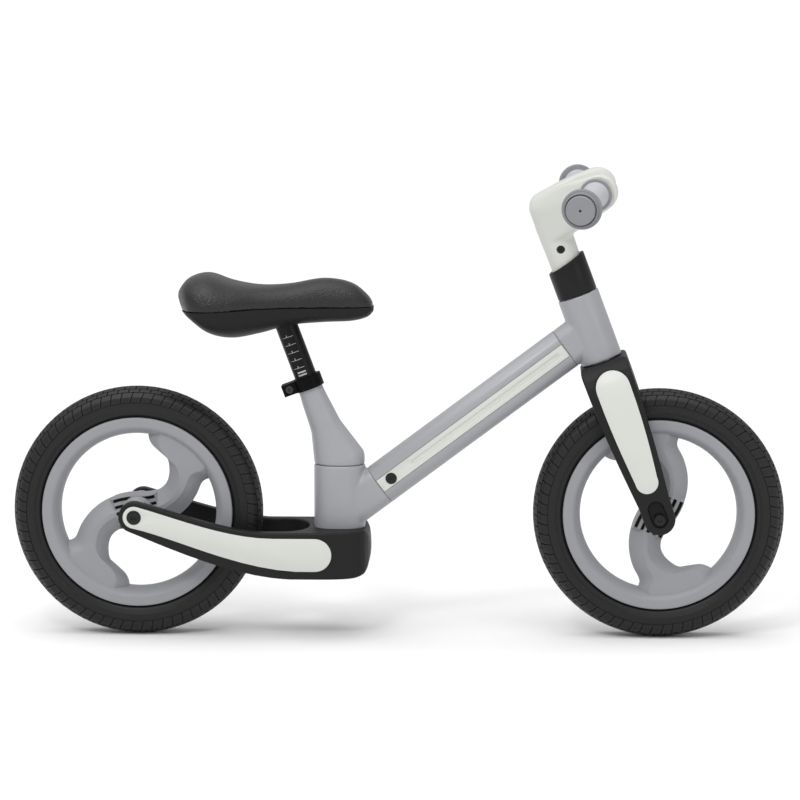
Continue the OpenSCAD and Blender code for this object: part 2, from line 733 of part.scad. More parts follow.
// Arm from the top of the stem out to one grip
module bar_arm() hull() {
    translate([0, 0, 336]) cylinder(r = 18.9, h = 24, $fn = 40);
    translate([-1, 5, 375.5]) sphere(r = 18, $fn = 32);
    translate([36, 32, 375]) rotate([90, 0, 40])
        cylinder(r = knuckle_r - 0.4, h = 24, center = true, $fn = 40);
    translate(knuckle) rotate([90, 0, grip_sweep]) cylinder(r = knuckle_r, h = 14, center = true, $fn = 48);
}

module handlebar() color([0.93, 0.93, 0.91]) on_steering() difference() {
    union() {
        translate([0, 0, stem_low]) cylinder(r = 18.4, h = 42);
        translate([0, 0, stem_low + 40]) cylinder(r1 = 18.4, r2 = 19.5, h = 44);
        both_sides() bar_arm();
    }
    translate([0, 0, stem_low - eps]) cylinder(r = steerer_r, h = steerer_top - stem_low + 2);
    both_sides() {
        translate([0, 0, stem_bolt_h]) cross_pin(4.5, 12, 40);
        on_grip() cylinder(r = bar_tube_r, h = 45, center = true);
    }
}

// Grip frame: Z runs out along the grip on the right side
module on_grip() translate([grip_in_x, -grip_in_y, arm_h]) rotate([90, 0, -grip_sweep]) children();

// Steel tubes inside the grips, let into the ends of the arms
module bar_tubes() color([0.55, 0.55, 0.57]) on_steering() both_sides() on_grip()
    translate([0, 0, -22]) ring(bar_tube_r, bar_tube_r - 2, grip_l + 22);

module stem_bolts() color([0.07, 0.07, 0.07]) on_steering() both_sides()
    translate([0, 0, stem_bolt_h]) facing_right(17) difference() {
        translate([0, 0, -2.6]) cylinder(r = 4.4, h = 4.2);
        translate([0, 0, -0.5]) cylinder(r = 2.2, h = 4, $fn = 6);
    }

// Grip: inner flange, hand part with shallow rings, wide outer flange and the neck beyond it
module grip() color([0.56, 0.57, 0.6]) on_steering() on_grip() rotate_extrude() polygon(concat(
    [[bar_tube_r, 0.3], [18.4, 0.3], [18.4, 4], [grip_d / 2 + 1, 7]],
    [for (k = [0 : 11]) [grip_d / 2 - (k % 2) * 0.7, 12 + 7.5 * k]],
    [[grip_d / 2 + 1, flange_at - 4], [flange_r, flange_at], [flange_r, flange_at + 4],
     [19.5, flange_at + 5.5], [18.7, flange_at + 6], [18.7, grip_l - 0.8], [17.9, grip_l], [bar_tube_r, grip_l]]
));

module grip_right() grip();
module grip_left() mirror([0, 1, 0]) grip();

// Cap in the end of the grip, with a small hole in its middle
module grip_cap() color([0.5, 0.51, 0.54]) on_steering() on_grip() translate([0, 0, grip_l]) difference() {
    union() {
        translate([0, 0, 0.2]) cylinder(r = 16.4, h = 3.2);
        translate([0, 0, -12]) cylinder(r = bar_tube_r - 2, h = 13);
    }
    translate([0, 0, 1]) cylinder(r = 1.3, h = 5);
}

module grip_cap_right() grip_cap();
module grip_cap_left() mirror([0, 1, 0]) grip_cap();

head_tube();
down_tube();
down_tube_inlay_right();
down_tube_inlay_left();
down_tube_bolts();
rear_casting();
seat_tube();
rear_fork();
rear_fork_inlay_right();
rear_fork_inlay_left();
yoke_bolts();
rear_axle();
rear_axle_bolts();
seat_clamp();
seat_clamp_bolt();
upper_headset_bearing();
lower_headset_bearing();
seatpost();
seatpost_plug();
saddle_base();
saddle_cushion();
saddle_bolts();
fork();
fork_inlay_right();
fork_inlay_left();
steerer_tube();
crown_race();
headset_collar();
handlebar();
bar_tubes();
stem_bolts();
grip_right();
grip_left();
grip_cap_right();
grip_cap_left();
dropout_inserts();
front_axle();
front_axle_bolts();
rear_tyre();
rear_rim();
rear_hub_caps();
rear_hub_vents();
rear_bearings();
rear_spacer();
front_tyre();
front_rim();
front_hub_caps();
front_hub_vents();
front_bearings();
front_spacer();
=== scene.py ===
"""Looks of the child's balance bike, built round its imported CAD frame. Metres, +X forward, +Z up."""

import json
import math

import bmesh
import bpy
import numpy as np
from mathutils import Matrix, Vector


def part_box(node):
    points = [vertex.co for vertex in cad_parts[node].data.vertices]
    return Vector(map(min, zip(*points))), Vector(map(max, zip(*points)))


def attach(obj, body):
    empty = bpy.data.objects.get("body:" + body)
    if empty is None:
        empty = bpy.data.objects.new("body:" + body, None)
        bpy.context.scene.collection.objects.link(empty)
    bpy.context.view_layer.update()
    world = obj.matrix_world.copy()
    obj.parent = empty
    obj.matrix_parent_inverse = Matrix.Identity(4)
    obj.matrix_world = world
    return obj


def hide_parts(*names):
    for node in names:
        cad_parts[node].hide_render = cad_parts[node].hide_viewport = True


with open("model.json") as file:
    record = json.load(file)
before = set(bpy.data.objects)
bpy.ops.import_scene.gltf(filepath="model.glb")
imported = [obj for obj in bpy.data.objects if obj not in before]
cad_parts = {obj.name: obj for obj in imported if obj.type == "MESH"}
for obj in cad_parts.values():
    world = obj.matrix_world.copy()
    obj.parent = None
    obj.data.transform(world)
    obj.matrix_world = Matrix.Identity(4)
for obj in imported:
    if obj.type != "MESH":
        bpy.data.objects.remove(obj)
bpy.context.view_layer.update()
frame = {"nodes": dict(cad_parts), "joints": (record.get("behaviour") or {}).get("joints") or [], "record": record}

MM = 0.001
METRES = Matrix.Diagonal((MM, MM, MM, 1))
SCENE = bpy.context.scene
JOINTS = {joint["name"]: joint for joint in frame["joints"]}
BODY_OF = {node: body for body, nodes in frame["record"]["behaviour"]["bodies"].items() for node in nodes}

# ---------- places, all taken from the frame ----------


def middle(node):
    low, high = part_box(node)
    return (low + high) / 2


def size(node):
    low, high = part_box(node)
    return (high - low) / MM


def axes(origin, x, y, z):
    """Matrix that takes millimetres in a part's own axes to metres in the frame."""
    turn = Matrix((x, y, z)).transposed().to_4x4()
    return Matrix.Translation(origin) @ turn @ Matrix.Diagonal((MM, MM, MM, 1))


ACROSS = Vector((0, 1, 0))
LEAN_AXIS = Vector(JOINTS["steering_turn"]["axis"]).normalized()
LEAN_FORWARD = ACROSS.cross(LEAN_AXIS)
STEERING = axes(Vector(JOINTS["steering_turn"]["pos_m"]), LEAN_FORWARD, ACROSS, LEAN_AXIS)
POST = axes(middle("seatpost"), LEAN_FORWARD, ACROSS, LEAN_AXIS)
TYRE_R = size("rear_tyre").z / 2
TYRE_HALF = size("rear_tyre").y / 2
RIM_R = size("rear_rim").z / 2
# Half the rim's width over its lips, and the radius of the bed the tyre sits on
RIM_HALF = 21.5
BED_R = RIM_R - 10

# The grip's middle line, in the steering frame: it starts at the knuckle and sweeps back.
# The root and the end are measured out from the bike's middle plane.
GRIP_SWEEP = math.radians(9.7)
GRIP_ROOT = 65
GRIP_END = 182
GRIP_START = Vector((59, -GRIP_ROOT, 374))
GRIP_OUT = Vector((-math.sin(GRIP_SWEEP), -math.cos(GRIP_SWEEP), 0))
GRIP_SIDE = Vector((math.cos(GRIP_SWEEP), -math.sin(GRIP_SWEEP), 0))
GRIP_L = (GRIP_END - GRIP_ROOT) / math.cos(GRIP_SWEEP)


def wheel_axes(node):
    """The axle is Z, out to the rider's right; X and Y are the side view."""
    return axes(middle(node), Vector((1, 0, 0)), Vector((0, 0, 1)), -ACROSS)


def grip_axes(side):
    """Z runs out along the grip; side is 1 for the right grip and -1 for the left."""
    flip = Matrix.Diagonal((1, side, 1, 1))
    local = Matrix((GRIP_SIDE, Vector((0, 0, 1)), GRIP_OUT)).transposed().to_4x4()
    return STEERING @ flip @ Matrix.Translation(GRIP_START) @ local


# ---------- materials ----------


def tone(level, tint=(1, 1, 1)):
    """Linear colour from a grey level as the eye sees it, 0 to 255."""
    value = (level / 255) ** 2.2
    return (value * tint[0], value * tint[1], value * tint[2], 1)


COOL = (0.97, 0.99, 1.05)
WARM = (1.01, 1.03, 0.97)


# How coarse the slow changes of colour are, how far the gloss swings, and how hard the fine bump works
CLOUD_SCALE = 26
GLOSS_SWING = 0.07
BUMP_STRENGTH = 0.6
# Sharp edges get a painted highlight: it starts at the first of these sharpnesses and is full at the second
EDGE_GLINT_FROM = 0.52
EDGE_GLINT_TO = 0.62


def link(tree, source, output, target, name):
    tree.links.new(source.outputs[output], target.inputs[name])


def surface(name, colour, roughness, grain, depth, mottle=0.05, cells=False, edge_glint=0.0, **sockets):
    """Moulded, painted or grained surface: slow colour and gloss changes, fine bump, and a painted highlight that
    lightens sharp edges.
    """
    material = bpy.data.materials.new(name)
    material.use_nodes = True
    tree = material.node_tree
    shader = tree.nodes["Principled BSDF"]
    for socket, value in sockets.items():
        shader.inputs[socket.replace("_", " ")].default_value = value

    place = tree.nodes.new("ShaderNodeTexCoord")
    clouds = tree.nodes.new("ShaderNodeTexNoise")
    clouds.inputs["Scale"].default_value = CLOUD_SCALE
    clouds.inputs["Detail"].default_value = 4
    link(tree, place, "Object", clouds, "Vector")

    blend = tree.nodes.new("ShaderNodeMix")
    blend.data_type = "RGBA"
    colour_a = [c * (1 - mottle) for c in colour[:3]] + [1]
    colour_b = [min(1, c * (1 + mottle)) for c in colour[:3]] + [1]
    blend.inputs[6].default_value = colour_a
    blend.inputs[7].default_value = colour_b
    tree.links.new(clouds.outputs["Fac"], blend.inputs[0])
    painted = blend.outputs[2]

    # Painted highlight: the colour is lightened on sharp edges, found by their pointiness
    if edge_glint:
        edges = tree.nodes.new("ShaderNodeNewGeometry")
        narrow = tree.nodes.new("ShaderNodeMapRange")
        narrow.inputs["From Min"].default_value = EDGE_GLINT_FROM
        narrow.inputs["From Max"].default_value = EDGE_GLINT_TO
        narrow.inputs["To Max"].default_value = edge_glint
        link(tree, edges, "Pointiness", narrow, "Value")
        edge_glint_mix = tree.nodes.new("ShaderNodeMix")
        edge_glint_mix.data_type = "RGBA"
        edge_glint_mix.inputs[7].default_value = [min(1, c * 1.7 + 0.02) for c in colour[:3]] + [1]
        tree.links.new(narrow.outputs["Result"], edge_glint_mix.inputs[0])
        tree.links.new(painted, edge_glint_mix.inputs[6])
        painted = edge_glint_mix.outputs[2]
    tree.links.new(painted, shader.inputs["Base Color"])

    gloss = tree.nodes.new("ShaderNodeMapRange")
    gloss.inputs["To Min"].default_value = roughness - GLOSS_SWING
    gloss.inputs["To Max"].default_value = roughness + GLOSS_SWING
    link(tree, clouds, "Fac", gloss, "Value")
    link(tree, gloss, "Result", shader, "Roughness")

    pattern = tree.nodes.new("ShaderNodeTexVoronoi" if cells else "ShaderNodeTexNoise")
    pattern.inputs["Scale"].default_value = grain
    link(tree, place, "Object", pattern, "Vector")
    bump = tree.nodes.new("ShaderNodeBump")
    bump.inputs["Strength"].default_value = BUMP_STRENGTH
    bump.inputs["Distance"].default_value = depth
    link(tree, pattern, "Distance" if cells else "Fac", bump, "Height")
    link(tree, bump, "Normal", shader, "Normal")
    return material


DEAD = {"Specular_IOR_Level": 0.1}
DULL = {"Specular_IOR_Level": 0.2}
SOFT = {"Specular_IOR_Level": 0.35}
SLEEK = {"Specular_IOR_Level": 0.45}

FRAME_GREY = surface("frame_grey", tone(146, COOL), 0.4, 900, 0.00005, Coat_Weight=0.2, Coat_Roughness=0.25)
RIM_GREY = surface("rim_grey", tone(139, COOL), 0.46, 1300, 0.00008, **SOFT)
PALE_PANEL = surface("pale_panel", tone(194, WARM), 0.4, 1100, 0.00004, mottle=0.02, **SOFT)
BAR_WHITE = surface("bar_white", tone(192, WARM), 0.36, 700, 0.00004, mottle=0.02, **SOFT)
# The edge amounts below set how strongly sharp edges get a painted highlight
FORK_BLACK = surface("fork_black", tone(30), 0.48, 1500, 0.00012, mottle=0.1, edge_glint=0.2, **DULL)
COLLAR_BLACK = surface("collar_black", tone(27), 0.42, 1200, 0.00006, mottle=0.1, edge_glint=0.15, **DULL)
POST_BLACK = surface("post_black", tone(15), 0.4, 2200, 0.00003, mottle=0.1, **DULL)
CLAMP_BLACK = surface("clamp_black", tone(8), 0.45, 1400, 0.00004, mottle=0.1, edge_glint=0.1, **DEAD)
BASE_BLACK = surface("base_black", tone(28), 0.5, 1400, 0.0001, mottle=0.1, edge_glint=0.1, **DULL)
SKIN_BLACK = surface("saddle_skin", tone(24), 0.36, 700, 0.0007, mottle=0.2, cells=True, **SLEEK)
GRIP_GREY = surface("grip_grey", tone(174, COOL), 0.6, 1500, 0.0001, mottle=0.03, **SOFT)
FLANGE_GREY = surface("flange_grey", tone(128, COOL), 0.6, 1500, 0.0001, mottle=0.04, **SOFT)
TYRE_BLACK = surface("tyre_black", tone(22), 0.5, 800, 0.00015, mottle=0.16, edge_glint=0.4, **SOFT)
BOLT_BLACK = surface("bolt_black", tone(14), 0.32, 1600, 0.00004, mottle=0.12, edge_glint=0.3, **SOFT)
RECESS_BLACK = surface("recess_black", tone(12), 0.5, 1300, 0.00006, mottle=0.1, **DULL)
RING_BLACK = surface("ring_black", tone(44), 0.32, 1600, 0.00004, mottle=0.12, edge_glint=0.3, **SOFT)
VENT_BLACK = surface("vent_black", tone(22), 0.55, 1300, 0.0001, mottle=0.1, **DULL)
STEEL = surface("steel", tone(170), 0.28, 1800, 0.00003, Metallic=0.9)
HUB_SILVER = surface("hub_silver", tone(165, COOL), 0.36, 1500, 0.00004, Metallic=0.35)
MARK_WHITE = surface("mark_white", tone(165), 0.5, 1500, 0.00002, mottle=0.08, **DULL)

# ---------- mesh helpers ----------


def curve(a, b, c, d, t):
    """Points on a cubic curve from a to d; t is one number or many."""
    a, b, c, d = (np.asarray(p, float) for p in (a, b, c, d))
    t = np.asarray(t, float)[..., None]
    return (1 - t) ** 3 * a + 3 * t * (1 - t) ** 2 * b + 3 * t * t * (1 - t) * c + t ** 3 * d


def smooth_step(t):
    t = np.clip(t, 0, 1)
    return t * t * (3 - 2 * t)


def rounded(corners, radius, steps=4):
    """Closed outline with every corner turned into a small curve."""
    corners = [np.asarray(c, float) for c in corners]
    outline = []
    for i, corner in enumerate(corners):
        back = corners[i - 1] - corner
        ahead = corners[(i + 1) % len(corners)] - corner
        start = corner + back * min(0.45, radius / np.linalg.norm(back))
        end = corner + ahead * min(0.45, radius / np.linalg.norm(ahead))
        for k in range(steps + 1):
            t = k / steps
            outline.append((1 - t) ** 2 * start + 2 * t * (1 - t) * corner + t * t * end)
    return np.array(outline)


def grid_faces(rows, columns, wrap_rows, wrap_columns):
    """Four-sided faces between points stored row by row."""
    faces = []
    for i in range(rows if wrap_rows else rows - 1):
        below = (i + 1) % rows
        for k in range(columns if wrap_columns else columns - 1):
            beside = (k + 1) % columns
            corner = i * columns
            faces.append((corner + k, corner + beside, below * columns + beside, below * columns + k))
    return faces


def piece_from_mesh(name, mesh, material, body, stands_for=()):
    mesh.materials.clear()
    mesh.materials.append(material)
    mesh.polygons.foreach_set("use_smooth", [True] * len(mesh.polygons))
    mesh.set_sharp_from_angle(angle=math.radians(38))
    piece = bpy.data.objects.new(name, mesh)
    SCENE.collection.objects.link(piece)
    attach(piece, body)
    if stands_for:
        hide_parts(*stands_for)
    return piece


def raw_mesh(name, points, faces, place):
    """Mesh from points in a part's own axes, in millimetres, with its faces turned outward."""
    mesh = bpy.data.meshes.new(name)
    mesh.from_pydata([place @ Vector(p) for p in points], [], faces)
    outward = bmesh.new()
    outward.from_mesh(mesh)
    bmesh.ops.recalc_face_normals(outward, faces=outward.faces)
    outward.to_mesh(mesh)
    outward.free()
    return mesh


def piece(name, points, faces, place, material, body, stands_for=(), slot=None):
    """New piece from points in a part's own axes, in millimetres."""
    mesh = raw_mesh(name, points, faces, place)
    return piece_from_mesh(name, mesh, material, body, stands_for)


def lathed(name, outline, count, place, material, body, stands_for=(), slot=None):
    """Closed outline of (radius, along) turned about the part's Z."""
    angles = np.arange(count) * 2 * math.pi / count
    points = [(r * math.cos(a), r * math.sin(a), z) for a in angles for r, z in outline]
    faces = grid_faces(count, len(outline), True, True)
    return piece(name, points, faces, place, material, body, stands_for, slot)


def copied_mesh(node):
    """The CAD node's mesh as one closed skin, with its flat faces whole."""
    mesh = frame["nodes"][node].data.copy()
    skin = bmesh.new()
    skin.from_mesh(mesh)
    bmesh.ops.remove_doubles(skin, verts=skin.verts, dist=0.002 * MM)
    bmesh.ops.dissolve_limit(skin, angle_limit=math.radians(0.4), verts=skin.verts, edges=skin.edges)
    skin.to_mesh(mesh)
    skin.free()
    return mesh


def with_modifiers(mesh, add):
    """The mesh after the modifiers that add() puts on it."""
    scratch = bpy.data.objects.new("scratch", mesh)
    SCENE.collection.objects.link(scratch)
    add(scratch.modifiers)
    graph = bpy.context.evaluated_depsgraph_get()
    result = bpy.data.meshes.new_from_object(scratch.evaluated_get(graph))
    bpy.data.objects.remove(scratch)
    return result


def rounded_copy(node, radius, material):
    """The CAD node with a small radius on its edges."""
    def add(modifiers):
        edges = modifiers.new("edges", "BEVEL")
        edges.width = radius * MM
        edges.segments = 2
        edges.limit_method = "ANGLE"
        edges.angle_limit = math.radians(32)

    mesh = with_modifiers(copied_mesh(node), add)
    return piece_from_mesh(node + "_finished", mesh, material, BODY_OF[node], [node])


def voxel_skin(modifiers, voxel):
    skin = modifiers.new("skin", "REMESH")
    skin.mode = "VOXEL"
    skin.voxel_size = voxel * MM


def relaxed(modifiers, passes, mesh, sharp_round):
    """Smooths a skin everywhere but close round the named small nodes."""
    relax = modifiers.new("relax", "SMOOTH")
    relax.factor = 0.5
    relax.iterations = passes
    if sharp_round:
        near = set()
        for low, high in (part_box(node) for node in sharp_round):
            centre = (low + high) / 2
            reach = (high.x - low.x) * 0.9
            for vertex in mesh.vertices:
                if math.hypot(vertex.co.x - centre.x, vertex.co.z - centre.z) < reach:
                    near.add(vertex.index)
        group = modifiers.id_data.vertex_groups.new(name="free")
        group.add([v.index for v in mesh.vertices if v.index not in near], 1, "REPLACE")
        relax.vertex_group = group.name


# The bore that the seatpost slides in, and where it starts and ends along the post's middle line
BORE_R = 13.05
BORE_ENDS = (-132, 40)


def bored(mesh):
    """The mesh with the seatpost's bore cut clean, a little wider than the post and its marks."""
    sides = 64
    turn = [2 * math.pi * k / sides for k in range(sides)]
    circle = [(BORE_R * math.cos(a), BORE_R * math.sin(a)) for a in turn]
    points = [POST @ Vector((x, y, z)) for z in BORE_ENDS for x, y in circle]
    faces = grid_faces(2, sides, False, True)
    faces += [tuple(range(sides - 1, -1, -1)), tuple(range(sides, 2 * sides))]
    rod_mesh = bpy.data.meshes.new("rod")
    rod_mesh.from_pydata(points, [], faces)
    rod = bpy.data.objects.new("rod", rod_mesh)
    SCENE.collection.objects.link(rod)

    def cut(modifiers):
        bore = modifiers.new("bore", "BOOLEAN")
        bore.operation = "DIFFERENCE"
        bore.solver = "EXACT"
        bore.object = rod

    result = with_modifiers(mesh, cut)
    bpy.data.objects.remove(rod)
    return result


def blended_copy(node, voxel, passes, material, sharp_round=(), with_bore=False):
    """The CAD node with its edges and inner corners blended, as a casting's are."""
    skin = with_modifiers(copied_mesh(node), lambda modifiers: voxel_skin(modifiers, voxel))
    mesh = with_modifiers(skin, lambda modifiers: relaxed(modifiers, passes, skin, sharp_round))
    if with_bore:
        mesh = bored(mesh)
    return piece_from_mesh(node + "_cast", mesh, material, BODY_OF[node], [node])


# ---------- tyres ----------

BLOCKS = 70
GROOVE_DEPTH = 1.3
CROWN_R = 32
CROWN_END = math.radians(42)
# Ribs of tread blocks from the middle of the crown out to the shoulder: start, end, and the set of
# grooves that cuts each
RIBS = [(0, 3.4, 0), (4.6, 10.9, 1), (12.1, 17.9, 0), (19.1, 32, 1)]
# Where along one block's length the mesh lines lie, and which of the two sets of grooves each is in
BLOCK_LINES = [
    (-0.06, None), (-0.028, 0), (0.028, 0), (0.06, None), (0.25, None),
    (0.44, None), (0.472, 1), (0.528, 1), (0.56, None), (0.75, None),
]


def tyre_path():
    """Half of the tyre's outside, from the crown to the bead, with its length along the way."""
    angles = np.linspace(0, CROWN_END, 40)
    crown = np.stack([TYRE_R - CROWN_R + CROWN_R * np.cos(angles), CROWN_R * np.sin(angles)], 1)
    side = curve(
        (TYRE_R - 9, TYRE_HALF - 0.7), (TYRE_R - 14, TYRE_HALF),
        (RIM_R + 12, TYRE_HALF), (RIM_R + 4, 20.5), np.linspace(0, 1, 40),
    )
    path = np.concatenate([crown, side])
    steps = np.linalg.norm(np.diff(path, axis=0), axis=1)
    return path, np.concatenate([[0], np.cumsum(steps)])


def tyre_rings():
    """Rings from the crown to the bead: length along the path, drop below the surface, and groove set."""
    rings = []
    for start, end, grooves in RIBS:
        if start > 0:
            rings.append((start - 0.35, GROOVE_DEPTH, None))
        count = max(2, round((end - start) / 2.2))
        rings += [(start + (end - start) * k / count, 0, grooves) for k in range(count + 1)]
        rings.append((end + 0.35, GROOVE_DEPTH, None))
    rings[-1] = (RIBS[-1][1] + 0.6, 1.1, None)
    length = tyre_path()[1][-1]
    count = 24
    wall_drop = 0.9
    for k, along in enumerate(np.linspace(RIBS[-1][1] + 1.6, length, count)):
        ridge = 0.28 if 12 < k < 21 and k % 2 else 0
        rings.append((along, wall_drop - wall_drop * (k / (count - 1)) - ridge, None))
    return rings


def slant(along):
    """How far a groove has leaned round the tyre by then, in blocks."""
    return 0.55 * (along / RIBS[-1][1]) ** 1.6


def tyre_ring(centre, inward, drop, grooves, lean, side):
    """Points once round the tyre, sunk by drop and deeper where the grooves run."""
    points = []
    for block in range(BLOCKS):
        for line, groove in BLOCK_LINES:
            cut = GROOVE_DEPTH if groove is not None and groove == grooves else 0
            radius, offset = centre + inward * (drop + cut)
            angle = (block + line + lean) * 2 * math.pi / BLOCKS
            points.append((radius * math.cos(angle), radius * math.sin(angle), side * offset))
    return points


def tyre(name, node, body):
    """Tyre with its tread: from the crown down one side, round the bead, and back up the other side."""
    path, lengths = tyre_path()
    half = []
    for along, drop, grooves in tyre_rings():
        centre = np.array([np.interp(along, lengths, path[:, k]) for k in (0, 1)])
        ahead = np.array([np.interp(along + 0.2, lengths, path[:, k]) for k in (0, 1)])
        behind = np.array([np.interp(along - 0.2, lengths, path[:, k]) for k in (0, 1)])
        tangent = (ahead - behind) / np.linalg.norm(ahead - behind)
        inward = np.array([-tangent[1], tangent[0]])
        half.append((centre, inward, along, drop, grooves))
    bead = [(RIM_R + 1.4, 18.6), (RIM_R + 0.6, 16.2), (BED_R + 1, 15.4)]
    bead += [(radius, -offset) for radius, offset in reversed(bead)]

    points = []
    for centre, inward, along, drop, grooves in half:
        points += tyre_ring(centre, inward, drop, grooves, slant(along), 1)
    for corner in bead:
        points += tyre_ring(np.array(corner), np.zeros(2), 0, None, slant(lengths[-1]), 1)
    for centre, inward, along, drop, grooves in half[:0:-1]:
        points += tyre_ring(centre, inward, drop, grooves, slant(along), -1)
    columns = BLOCKS * len(BLOCK_LINES)
    faces = grid_faces(len(points) // columns, columns, True, True)
    return piece(name, points, faces, wheel_axes(node), TYRE_BLACK, body, [node], "tyre_black")


# ---------- rims ----------

HUB_R = 18
HUB_HALF = 24
# Half thickness of the S at its middle and at its edges, with a bevel of this width between them
SPOKE_HALF = 17
EDGE_HALF = 5
BEVEL_W = 16
# Places along the S are counted in steps: the flare at each end, the hub half way, and the bow into the rim
FLARE = 6
HALF_WAY = 20
S_END = 2 * HALF_WAY
BOW = 3
# Vents beside the hub: how many lie side by side, where they start and end along the S, how high their
# floor lies, and how wide the steep walls down to it are, along and across the S
VENTS = 5
VENT_FROM = HALF_WAY - 4
VENT_TO = HALF_WAY - 1
VENT_FLOOR = 9.6
WALL_ALONG = 0.12
WALL_ACROSS = 0.012


def s_edge(u):
    """Upper edge of the S, from the rim at the left, over the hub, to the rim at the top."""
    if u < FLARE:
        return curve((-86, -38), (-76, -37.5), (-73, -33), (-70, -25), u / FLARE)
    if u < HALF_WAY:
        return curve((-70, -25), (-62, -3), (-38, 19.5), (0, 19.5), (u - FLARE) / (HALF_WAY - FLARE))
    if u < S_END - FLARE:
        return curve((0, 19.5), (26, 18), (38, 30), (36, 52), (u - HALF_WAY) / (HALF_WAY - FLARE))
    return curve((36, 52), (35, 72), (13, 66), (12, 91), (u - S_END + FLARE) / FLARE)


def across_s(u, f):
    """Point at fraction f from the upper to the lower edge; past either end it bows out into the rim."""
    if u > S_END:
        return -across_s(S_END - u, 1 - f)
    near = s_edge(max(u, 0))
    far = -s_edge(S_END - max(u, 0))
    point = near + (far - near) * f
    if u < 0:
        start = math.atan2(near[1], near[0])
        end = math.atan2(far[1], far[0])
        angle = start + (end - start) * f
        in_rim = (BED_R - 3) * np.array([math.cos(angle), math.sin(angle)])
        point = point + (in_rim - point) * (-u / BOW)
    return point


def vent_edges():
    """Fractions across the S where each vent starts and ends."""
    return [((k + 0.22) / VENTS, (k + 0.78) / VENTS) for k in range(VENTS)]


def spaced(values, gap):
    """The values in order, without any that is closer than gap to the one before."""
    kept = []
    for value in sorted(values):
        if not kept or value - kept[-1] > gap:
            kept.append(value)
    return kept


def spoke_lines():
    """Mesh lines along and across the S, with pairs of lines at the walls of the vents."""
    along = list(range(-BOW, 0)) + list(np.linspace(0, S_END, 121))
    along += list(range(S_END + 1, S_END + BOW + 1))
    for start, end in ((VENT_FROM, VENT_TO), (S_END - VENT_TO, S_END - VENT_FROM)):
        along += [start, start + WALL_ALONG, end - WALL_ALONG, end]
    across = list(np.linspace(0, 1, 49))
    for start, end in vent_edges():
        across += [start, start + WALL_ACROSS, end - WALL_ACROSS, end]
    return spaced(along, 0.02), spaced(across, 0.002)


def spoke_height(u, f, edge_distance):
    """Half thickness of the S: broad bevels each side of a flat middle, full height beside the hub."""
    swell = 0.04
    ramp = 0.7
    edge = 0.02
    rise = np.clip(edge_distance / BEVEL_W, 0, 1)
    rise = rise + swell * np.sin(math.pi * rise) ** 2
    height = EDGE_HALF + (SPOKE_HALF - EDGE_HALF) * min(rise, 1)
    beside = smooth_step((u - VENT_FROM + ramp) / ramp) * smooth_step((S_END - VENT_FROM + ramp - u) / ramp)
    if edge < f < 1 - edge:
        height = max(height, EDGE_HALF + (SPOKE_HALF - 0.5 - EDGE_HALF) * beside)
    slack = WALL_ALONG / 2
    first = VENT_FROM + slack < u < VENT_TO - slack
    second = S_END - VENT_TO + slack < u < S_END - VENT_FROM - slack
    slack = WALL_ACROSS / 2
    if (first or second) and any(start + slack < f < end - slack for start, end in vent_edges()):
        height = VENT_FLOOR
    return height


def spokes(name, node, body, turn):
    """The S that makes both spokes, closed at its ends inside the rim."""
    along, across = spoke_lines()
    points = []
    for u in along:
        width = np.linalg.norm(across_s(u, 1) - across_s(u, 0))
        top = []
        for f in across:
            x, y = across_s(u, f)
            edge_distance = min(f, 1 - f) * width
            top.append((x, y, spoke_height(u, f, edge_distance)))
        points += top + [(x, y, -z) for x, y, z in reversed(top)]
    ring = 2 * len(across)
    faces = grid_faces(len(along), ring, False, True)
    for base in (0, (len(along) - 1) * ring):
        for k in range(len(across) - 1):
            faces.append((base + k, base + k + 1, base + ring - 2 - k, base + ring - 1 - k))
    place = wheel_axes(node) @ Matrix.Rotation(turn, 4, "Z")
    return piece(name, points, faces, place, RIM_GREY, body, [], "rim_grey")


def rim(prefix, node, body, turn):
    """Hoop, S-shaped spokes and hub barrel; turn is how far the S is turned about the axle."""
    lip = 1.2
    mouth = 15.8
    bore = 11.2
    half = [
        (RIM_R - 0.2, mouth), (RIM_R - 0.2, RIM_HALF - lip), (RIM_R - lip, RIM_HALF),
        (RIM_R - 11.5, RIM_HALF - 0.4), (RIM_R - 15, RIM_HALF - 3.5), (RIM_R - 18, 14),
        (RIM_R - 20, 7),
    ]
    section = [(BED_R + 1, mouth)] + half + [(r, -y) for r, y in reversed(half)] + [(BED_R + 1, -mouth)]
    place = wheel_axes(node)
    lathed(prefix + "_rim_hoop", rounded(section, 2.4), 144, place, RIM_GREY, body, [node], "rim_grey")
    spokes(prefix + "_rim_spokes", node, body, turn)
    barrel = [(bore, -HUB_HALF), (HUB_R, -HUB_HALF), (HUB_R, HUB_HALF), (bore, HUB_HALF)]
    lathed(prefix + "_hub_barrel", rounded(barrel, 3.2), 72, place, RIM_GREY, body, [], "rim_grey")


# ---------- saddle ----------

# How far the seam drops towards the tail, how far the tail tucks in there, and the gap at the seam
SEAM_DROP = 2.5
TAIL_TUCK = 7
SEAM_GAP = 0.6
# The cushion's flat underside lies this far below the seam, and the base's flat top this far above it
CUSHION_SINK = 0.6
BASE_RISE = 0.9
# Cell size of the cushion's skin, and the most that pressure may move any point of it
PAD_VOXEL = 2.4
PAD_SWELL = 0.9
SADDLE_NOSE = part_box("saddle_cushion")[1].x / MM
SADDLE_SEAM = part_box("saddle_cushion")[0].z / MM + SEAM_DROP - SEAM_GAP / 2
SADDLE_L = size("saddle_cushion").x
